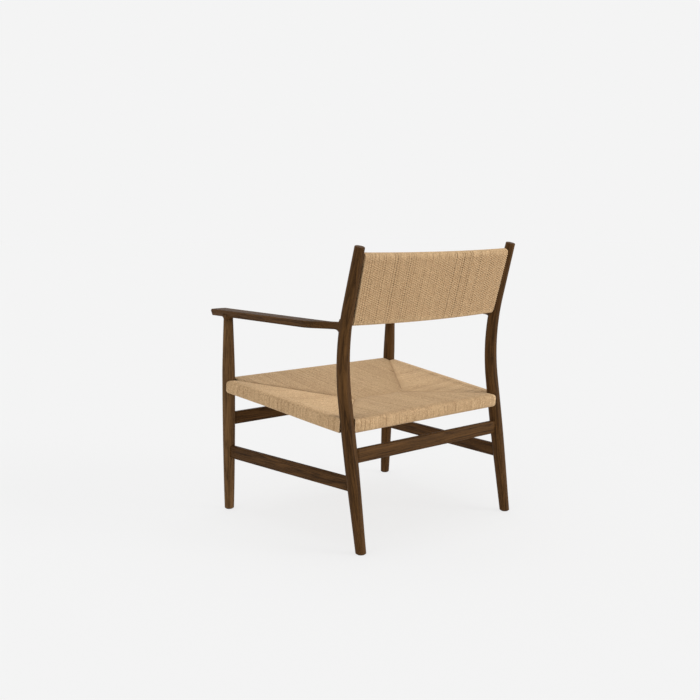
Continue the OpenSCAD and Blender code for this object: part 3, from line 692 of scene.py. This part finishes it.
def stretcher(name, z, first_leg, last_leg, pith):
    """A level bar between two legs. A leg is its centre line, its diameter and its side of the chair."""
    start, stop = (leg_at(z) * [side, 1.0, 1.0] for leg_at, d_at, side in (first_leg, last_leg))
    along = (stop - start) / np.linalg.norm(stop - start)
    sideways = np.array([along[1], -along[0], 0])
    reach0, reach1 = (sqrt(float(d_at(z)) ** 2 - bar_t * bar_t) / 2 - let_in
                      for leg_at, d_at, side in (first_leg, last_leg))
    s = np.linspace(reach0, np.linalg.norm(stop - start) - reach1, 60)
    turn = np.radians(np.linspace(0, 90, 8))
    quarter = np.stack([bar_edge_r * np.cos(turn) + bar_t / 2 - bar_edge_r,
                        bar_edge_r * np.sin(turn) + bar_h / 2 - bar_edge_r], -1)
    outline = np.concatenate([quarter, (quarter * [-1, 1])[::-1], quarter * [-1, -1],
                              (quarter * [1, -1])[::-1]])
    rings = (start + s[:, None, None] * along + outline[None, :, :1] * sideways
             + outline[None, :, 1:] * np.array([0, 0, 1.0]))
    marks = grain_along(np.broadcast_to(outline, (len(s),) + outline.shape), s, pith)
    skin(name + "_bar", rings, marks, [name], flip=True)
    print(name, "length", round(s[-1] - s[0], 1))


stretcher("side_stretcher_left", 172.0, front_left, rear_left, (31, 12, 6000))
stretcher("side_stretcher_right", 172.0, rear_right, front_right, (-28, 19, 6900))
stretcher("back_stretcher", 242.0, rear_left, rear_right, (24, -17, 7800))
stretcher("front_stretcher", 267.0, front_right, front_left, (-33, 26, 8700))

# %% [markdown]
# ## Winding cord
#
# Seat and back are made of separate turns of cord, so this helper sweeps many tubes at once. Each
# path is a row of points. A reference direction, along the rail that the cord goes round, sets the
# tube's frame and keeps it from twisting. Every point stores the cosine and sine of its angle, its
# distance along, and the tone of its own cord, because no two lengths of paper cord match exactly.

# %% Cord tubes
chance = np.random.default_rng(7)


def wind(name, paths, reference, radius, tones, closed=False, sides=8, stands_for=()):
    """Tubes of cord along paths (cords, points, 3) in mm."""
    cords, count = paths.shape[:2]
    reference = np.asarray(reference)
    if closed:
        tangent = np.roll(paths, -1, 1) - np.roll(paths, 1, 1)
    else:
        tangent = np.gradient(paths, axis=1)
    tangent /= np.linalg.norm(tangent, axis=2, keepdims=True)
    across = reference - (reference * tangent).sum(2, keepdims=True) * tangent
    across /= np.linalg.norm(across, axis=2, keepdims=True)
    lift = np.cross(tangent, across)
    turn = np.linspace(0, 2 * np.pi, sides, endpoint=False)
    c, s = np.cos(turn)[:, None], np.sin(turn)[:, None]
    points = paths[:, :, None] + radius * (c * across[:, :, None] + s * lift[:, :, None])
    step = np.linalg.norm(np.diff(paths, axis=1), axis=2)
    along = np.concatenate([np.zeros((cords, 1)), np.cumsum(step, 1)], 1) * mm
    along = along + chance.uniform(0, 1, (cords, 1))
    shape = (cords, count, sides)
    lay_marks = np.stack([np.broadcast_to(np.cos(turn), shape), np.broadcast_to(np.sin(turn), shape),
                          np.broadcast_to(along[:, :, None], shape)], -1)
    steps = count if closed else count - 1
    k, i, j = np.meshgrid(np.arange(cords), np.arange(steps), np.arange(sides), indexing="ij")
    here, there = (k * count + i) * sides, (k * count + (i + 1) % count) * sides
    right = (j + 1) % sides
    faces = [np.stack([here + j, here + right, there + right, there + j], -1).reshape(-1, 4)]
    if not closed:
        first = (np.arange(cords) * count * sides)[:, None]
        faces += [first + np.arange(sides)[::-1], first + (count - 1) * sides + np.arange(sides)]
    tones = tones[:, None] if tones.ndim == 1 else tones
    tone_marks = np.broadcast_to(tones[:, :, None], shape)
    return new_piece(name, points.reshape(-1, 3), faces, paper_cord,
                     {"lay": lay_marks.reshape(-1, 3), "tone": tone_marks.reshape(-1)}, stands_for)


def uneven(start, stop, pitch):
    """Cord positions from start to stop, a little uneven, with a wider gap every 3 to 11 cords."""
    count = int(round((stop - start) / pitch)) + 1
    gaps = 1 + 0.06 * chance.standard_normal(count - 1)
    wide = np.cumsum(chance.integers(3, 12, count))
    gaps[wide[wide < count - 1]] += chance.uniform(0.10, 0.38, (wide < count - 1).sum())
    place = np.r_[0, np.cumsum(gaps)]
    return start + (stop - start) * place / place[-1]


def cord_tones(count, middle=0.60):
    """Tone of each cord: slow drift as one hank follows another, and small differences."""
    knots = np.arange(0, count + 12, 12)
    drift = np.interp(np.arange(count), knots, chance.normal(0, 0.03, len(knots)))
    return np.clip(middle + drift + chance.normal(0, 0.055, count), 0.15, 0.95)

# %% [markdown]
# ## Seat
#
# The seat is wound in the envelope pattern. A cord goes over a rail, under it, up through the
# middle, and over the next rail at a right angle. Over the whole frame that makes four fields that
# meet in diagonal seams, with a short seam across the middle where the front and rear fields meet.
# The fields slope down from the rails to the seams, above and below, with a hollow between.
#
# Each turn is drawn from the seam, up its field, round its rail, and back under the seat to the
# seam. The side cords cross over the ends of the front and rear cords, which duck under them. Close
# to a leg the turns crowd, bunching on the rail's outer face and spreading round the leg inside.
#
# The front field stands a little proud behind its rail. The side fields sink and hang lower toward
# the rear. Along the front left seam every other front cord stops short and leaves a pocket, and
# one place in the front right seam is parted. The buried end of every seat cord is darkened in
# colour as painted shade, most of all in these pockets and at the parted place.

# %% Seat frame
seat_slope, seat_z = radians(5.34), 363.5
front_c = front_at(seat_z)
rear_z = seat_z
for _ in range(6):
    rear_z = seat_z - tan(seat_slope) * (rear_at(rear_z)[1] - front_c[1])
rear_c = rear_at(rear_z)
seat_l = (rear_c[1] - front_c[1]) / cos(seat_slope)
cord_r, cord_pitch, rail_out, rail_half, rail_up, rail_edge_r = 1.6, 3.3, 4.0, 10.0, 15, 6.0
corner_in, crowd_from = 6.0, 12.5
front_r, rear_r = float(front_d(seat_z)) / 2, float(rear_d(rear_z)) / 2


def from_seat(x, v, w):
    """Seat coordinates to the chair's: v runs back along the slope, w stands on the seat plane."""
    c, s = cos(seat_slope), sin(seat_slope)
    return np.stack([x, front_c[1] + v * c + w * s, front_c[2] - v * s + w * c], -1)


corner_front = np.array([front_c[0] - corner_in, corner_in])
corner_rear = np.array([rear_c[0] - corner_in, seat_l - corner_in])
seam_v, seam_half = 292.0, 92.0
sheet_w, seam_w, cord_bend_r = rail_up + cord_r, 1.15, rail_edge_r + cord_r
parted_x, parted_half = -216, 3.4
print("seat depth along the slope", round(seat_l, 1), "rear legs at height", round(rear_z, 1))

# %% Seat cords
arc = np.radians(np.linspace(90, 0, 6))


def turn_round_rail(seam_q, drop, over, deep, dip=0.0):
    """The upper half of each turn in the plane across a rail: q outward from its middle, w up.

    The cord starts beyond the seam by over, deep below the sheet. The sheet loses drop per mm on its
    way inward, and dip makes it a little hollow.
    """
    seam_q, over, deep = (np.reshape(v, (-1, 1)) for v in (seam_q, over, deep))

    def sheet(q):
        inward = -rail_half - q
        to_seam = np.clip((q - seam_q) / (-rail_half - seam_q), 0, 1)
        hollow = dip * (1 - np.exp(-inward / 7)) * to_seam ** 0.7
        return sheet_w - drop * inward - hollow

    dive_q = seam_q + np.array([-1.0, -0.7, 0.1, 1.4, 3.4]) * over
    dive_w = sheet(seam_q) - np.array([1.0, 0.72, 0.36, 0.12, 0.0]) * deep
    share = np.array([0.14, 0.28, 0.42, 0.56, 0.70, 0.82, 0.91, 0.96, 1.0])
    inner_q = dive_q[:, -1:] + (-rail_half - dive_q[:, -1:]) * share
    dive_w = np.minimum(dive_w, sheet(dive_q))
    ones = np.ones_like(seam_q)
    over_q = ones * np.r_[-5.0, 0.0, rail_half - rail_edge_r + cord_bend_r * np.cos(arc), rail_half + cord_r]
    over_w = ones * np.r_[sheet_w, sheet_w, rail_up - rail_edge_r + cord_bend_r * np.sin(arc), 4.5]
    return (np.concatenate([dive_q, inner_q, over_q], 1),
            np.concatenate([dive_w, sheet(inner_q), over_w], 1))


def whole_turn(q, w, lift, crown=0.0, hang=0.0):
    """Adds the outer face's middle and the mirrored way back under the seat.

    A crown lifts the cord over the rail and hang lowers it below the rail, both fading inward.
    """
    near = np.clip(w / sheet_w, 0, 1) * np.exp(-np.clip(-q - 10, 0, None) / 40)
    lifted = w + lift * np.clip((-q - 8) / 6, 0, 1) + crown * near
    lowered = -w - hang * near
    q = np.concatenate([q, np.full((len(q), 1), rail_half + cord_r), q[:, ::-1]], 1)
    w = np.concatenate([lifted, np.zeros((len(w), 1)), lowered[:, ::-1]], 1)
    return q, w


def paint_shade_on_ends(tones, count, end_shade):
    """Tone per point: each cord's own, darkened at its buried upper end to the given tone, as painted shade.
    """
    fade = np.zeros(count)
    fade[:5] = [1.0, 1.0, 0.9, 0.6, 0.2]
    return tones[:, None] * (1 - fade) + np.reshape(end_shade, (-1, 1)) * fade


def crowd(place, q, leg_r):
    """Distance from a leg's centre along the rail, once the cord has gone round the leg."""
    s = np.clip(q + rail_out, 0, None)
    clear = leg_r + cord_r + 0.3
    need = np.maximum(np.sqrt(np.clip(clear ** 2 - s ** 2, 0, None)), crowd_from)
    return place + (need - crowd_from) * np.exp(-(place - crowd_from) / 34)


def spread(place, length, q, leg0, leg1):
    """The same for both ends of a rail, and a slow waver along each cord."""
    moved = crowd(place, q, leg0)
    moved = length - crowd(length - moved, q, leg1)
    phase_a, phase_b = chance.uniform(0, 6.3, (2, len(place), 1))
    waver = 0.36 * np.sin(q / 31 + phase_a) + 0.30 * np.sin(q / 12 + phase_b)
    return moved + waver * np.clip((-q - 10) / 20, 0, 1)


def end_field(front):
    """Paths of the front or rear field, their reference direction and the painted shade tone of their buried
    ends.
    """
    leg, leg_r, corner = (front_c, front_r, corner_front) if front else (rear_c, rear_r, corner_rear)
    place = uneven(crowd_from, 2 * leg[0] - crowd_from, cord_pitch)[:, None]
    inside = spread(place, 2 * leg[0], np.full_like(place, -rail_half), leg_r, leg_r)
    from_middle = inside[:, 0] - leg[0]
    x = np.abs(from_middle)
    seam_at = corner[1] + np.clip((corner[0] - x) / (corner[0] - seam_half), 0, 1) * (seam_v - corner[1])
    seam_q = -(seam_at + rail_out) if front else -(seat_l + rail_out - seam_at)
    seam_q = np.minimum(seam_q, -rail_half - 6)
    drop = (sheet_w - seam_w) / abs(seam_v - corner[1])
    odd, centre = np.arange(len(x)) % 2 == 1, x < seam_half
    short = odd & ~centre & (x < corner[0] - 8) & (from_middle > 0)
    pocket = front & (short | (np.abs(from_middle - parted_x) < parted_half))
    seam_q = seam_q + np.where(pocket, 9.0, 0) - np.where(centre & (odd == front), 4.0, 0)
    deep = np.where(pocket, 9.0, np.where(centre, 2.2, 4.6))
    q, w = turn_round_rail(seam_q, drop, np.where(pocket, 3.4, 1.5), deep, dip=0.6)
    q, w = whole_turn(q, w, chance.normal(0, 0.16, (len(place), 1)), crown=2.0 if front else 0.3)
    along = spread(place, 2 * leg[0], q, leg_r, leg_r) - leg[0]
    v = -rail_out - q if front else seat_l + rail_out + q
    # The buried ends get a darker tone as painted shade: darkest in the pockets, least dark near the middle
    # seam.
    return from_seat(along, v, w), [1.0, 0, 0], np.where(pocket, -0.90, np.where(centre, 0.35, 0.0))


def side_field(side):
    """The same for a side field: side is 1 on the sitter's left and -1 on the right."""
    place = uneven(crowd_from, seat_l - crowd_from, cord_pitch)[:, None]
    inside = spread(place, seat_l, np.full_like(place, -rail_half), front_r, rear_r)[:, 0]
    lean = (front_c[0] - rear_c[0]) / seat_l
    inner_x = corner_front[0] - (inside - corner_front[1]) * lean
    ahead = np.clip((inside - corner_front[1]) / (seam_v - corner_front[1]), 0, 1)
    behind = np.clip((corner_rear[1] - inside) / (corner_rear[1] - seam_v), 0, 1)
    seam_x = np.where(inside < seam_v, corner_front[0] + ahead * (seam_half - corner_front[0]),
                      corner_rear[0] + behind * (seam_half - corner_rear[0]))
    middle_x = corner_front[0] - (seam_v - corner_front[1]) * lean
    drop = (sheet_w - seam_w) / (middle_x - seam_half)
    seam_q = np.minimum(seam_x - inner_x, -6) - rail_half
    dip = (1.2 + 2.6 * np.clip(inside / seat_l, 0, 1))[:, None]
    q, w = turn_round_rail(seam_q, drop, 1.0, 5.0, dip)
    hang = 0.6 + 2.4 * smooth_step((inside - 150) / 250)[:, None]
    q, w = whole_turn(q, w, chance.normal(0, 0.16, (len(place), 1)), crown=0.3, hang=hang)
    v = spread(place, seat_l, q, front_r, rear_r)
    x = front_c[0] + rail_out + q - v * lean
    # Its buried ends are darkened in colour as painted shade too.
    return from_seat(side * x, v, w), [0, cos(seat_slope), -sin(seat_slope)], 0.05


for field, drawn_by, which in (("front", end_field, True), ("rear", end_field, False),
                               ("left", side_field, 1), ("right", side_field, -1)):
    paths, towards, end_shade = drawn_by(which)
    tones = paint_shade_on_ends(cord_tones(len(paths)), paths.shape[1], end_shade)
    piece = wind("seat_cord_" + field, paths, towards, cord_r, tones,
                 stands_for=["seat_weave"] if field == "front" else ())
    print(piece.name, len(paths), "cords", len(piece.data.polygons), "faces")

# %% [markdown]
# ## Back
#
# The back is wound up and down over two bent rails, in pairs of cord, then woven across by one cord
# that goes over one pair and under the next. The rows cover both faces and leave a plain wound
# band along the top and bottom edges. The panel bows to the rear between the legs.
#
# The up and down pairs are closed loops round both rails. They follow the legs at both ends, so the
# pairs stand a touch closer at the bottom, where the legs are thicker. Each row is one tube per
# face whose height over the loops swings from above to below, pair by pair. Here and there two pairs
# stand a little apart: the rows sink between them, and their colour is darkened there as painted
# shade. Where a row passes under a pair, its colour is darkened a little too, also painted shade.

# %% Back frame
back_h, back_bow, back_t, back_drop = 188.0, 13.0, 22.0, 18.5
back_mid_z = chair_h - back_drop - cos(upper_lean) * back_h / 2
back_mid = rear_at(back_mid_z)
back_arc_r = (back_mid[0] ** 2 + back_bow ** 2) / (2 * back_bow)
face_n, edge_z = back_t / 2 - cord_r, back_h / 2 - cord_r


def from_back(x, n, up):
    """Backrest coordinates to the chair's: n stands on the bowed middle surface, up runs along it."""
    turn = np.arcsin(x / back_arc_r)
    across = (back_arc_r + n) * np.sin(turn)
    out = back_bow - 1 - back_arc_r + (back_arc_r + n) * np.cos(turn)
    c, s = cos(upper_lean), sin(upper_lean)
    return np.stack([across, back_mid[1] + out * c + up * s, back_mid[2] - out * s + up * c], -1)


def half_width(up):
    """Distance from the chair's middle to the leg's inner side, at a place along the back."""
    z_here = back_mid[2] + up * cos(upper_lean)
    return rear_at(z_here)[..., 0] - rear_d(z_here) / 2 - 0.5


print("back radius", round(back_arc_r), "half width", half_width(np.array([-90.0, 90.0])).round(1))

# %% Back loops
pairs, loop_r, loop_apart = 71, 1.55, 1.62
pair_gap = 1 + 0.05 * chance.standard_normal(pairs)
loose = np.cumsum(chance.integers(3, 8, pairs))
pair_gap[loose[loose < pairs]] += chance.uniform(0.12, 0.45, (loose < pairs).sum())
parted = 0.18 + 2.4 * np.clip(pair_gap[1:] - 1.05, 0, 0.4)
pair_edge = np.r_[0, np.cumsum(pair_gap)]
pair_edge = pair_edge / pair_edge[-1] * 2 - 1
share_of = (pair_edge[1:] + pair_edge[:-1]) / 2
share_of[1:-1] += 0.0009 * chance.standard_normal(pairs - 2)
quarter = np.radians(np.linspace(0, 90, 6))
loop_n = np.r_[np.full(12, face_n), (face_n - cord_bend_r) + cord_bend_r * np.cos(quarter[1:])]
loop_up = np.r_[np.linspace(0, edge_z - cord_bend_r, 12),
                (edge_z - cord_bend_r) + cord_bend_r * np.sin(quarter[1:])]
loop_n = np.r_[loop_n, -loop_n[::-1], -loop_n[1:], loop_n[1:][::-1]]
loop_up = np.r_[loop_up, loop_up[::-1], -loop_up[1:], -loop_up[1:][::-1]]
loop_n, loop_up = loop_n[:-1], loop_up[:-1]
keep = np.hypot(np.diff(loop_n, append=loop_n[0]), np.diff(loop_up, append=loop_up[0])) > 0.01
loop_n, loop_up = np.roll(loop_n[keep], 17), np.roll(loop_up[keep], 17)

for part, chosen in (("left", share_of > 0), ("right", share_of <= 0)):
    middle = share_of[chosen][:, None] * (half_width(loop_up)[None] - cord_r - 0.2)
    offset = chance.normal(0, 0.12, (len(middle), 1))
    both = np.concatenate([middle + offset - loop_apart, middle + offset + loop_apart])
    depth_n = loop_n + np.sign(loop_n) * chance.normal(0, 0.1, (len(both), 1))
    paths = from_back(both, depth_n, loop_up + 0 * both)
    # The loops are given a lighter tone than the seat cord, 0.72 against 0.60: painted light, standing in for
    # light on the back's wound top band.
    piece = wind("back_loops_" + part, paths, [1.0, 0, 0], loop_r, cord_tones(len(both), 0.72), closed=True,
                 stands_for=["back_weave"] if part == "left" else ())
    print(piece.name, len(both), "loops", len(piece.data.polygons), "faces")

# %% Back rows
row_pitch, row_reach, row_swing, row_r = 2.82, 81.5, 2.05, 1.25
rows = int(2 * row_reach / row_pitch)
beat, leg_sunk = 0.0072, 2.6

# A row has two points on each pair, one in each gap between pairs, and one at each leg.
slots = np.r_[(share_of[:, None] + [-beat, beat]).ravel(), pair_edge[1:-1], -1.0, 1.0]
over = np.r_[np.repeat(np.where(np.arange(pairs) % 2 == 0, 1.0, -1.0), 2), np.zeros(pairs + 1)]
sunk = np.r_[np.zeros(2 * pairs), parted, leg_sunk, leg_sunk]
arrange = np.argsort(slots)
slots, over, sunk = slots[arrange], over[arrange], sunk[arrange]
for face, sign in (("rear", 1), ("front", -1)):
    for part in ("lower", "upper"):
        order = np.arange(rows // 2) if part == "lower" else np.arange(rows // 2, rows)
        up = -row_reach + (order + 0.5) * 2 * row_reach / rows
        flip_row = np.where(order % 2 == 0, 1.0, -1.0)[:, None]
        swing = (over * flip_row - sunk) * row_swing
        in_gap = (sunk > 0) & (sunk < leg_sunk)
        # Painted shade: a row's colour is darkened where it sinks into a gap between pairs, and a little
        # where it passes under a pair.
        shade = np.where(in_gap, 0.25 - 1.1 * sunk, 0.66) - 0.25 * (over * flip_row < 0)
        up_here = up[:, None] + chance.normal(0, 0.08, (len(order), len(slots)))
        x = slots * (half_width(up_here) - cord_r)
        n = sign * (face_n + 0.1 + swing + chance.normal(0, 0.1, (len(order), len(slots))))
        paths = from_back(x, n, up_here)[:, ::sign]
        tones = shade[:, ::sign] + chance.normal(0, 0.05, shade.shape)
        piece = wind("back_rows_" + face + "_" + part, paths, [0, sin(upper_lean), cos(upper_lean)],
                     row_r, tones, sides=6)
        print(piece.name, len(order), "rows", len(piece.data.polygons), "faces")
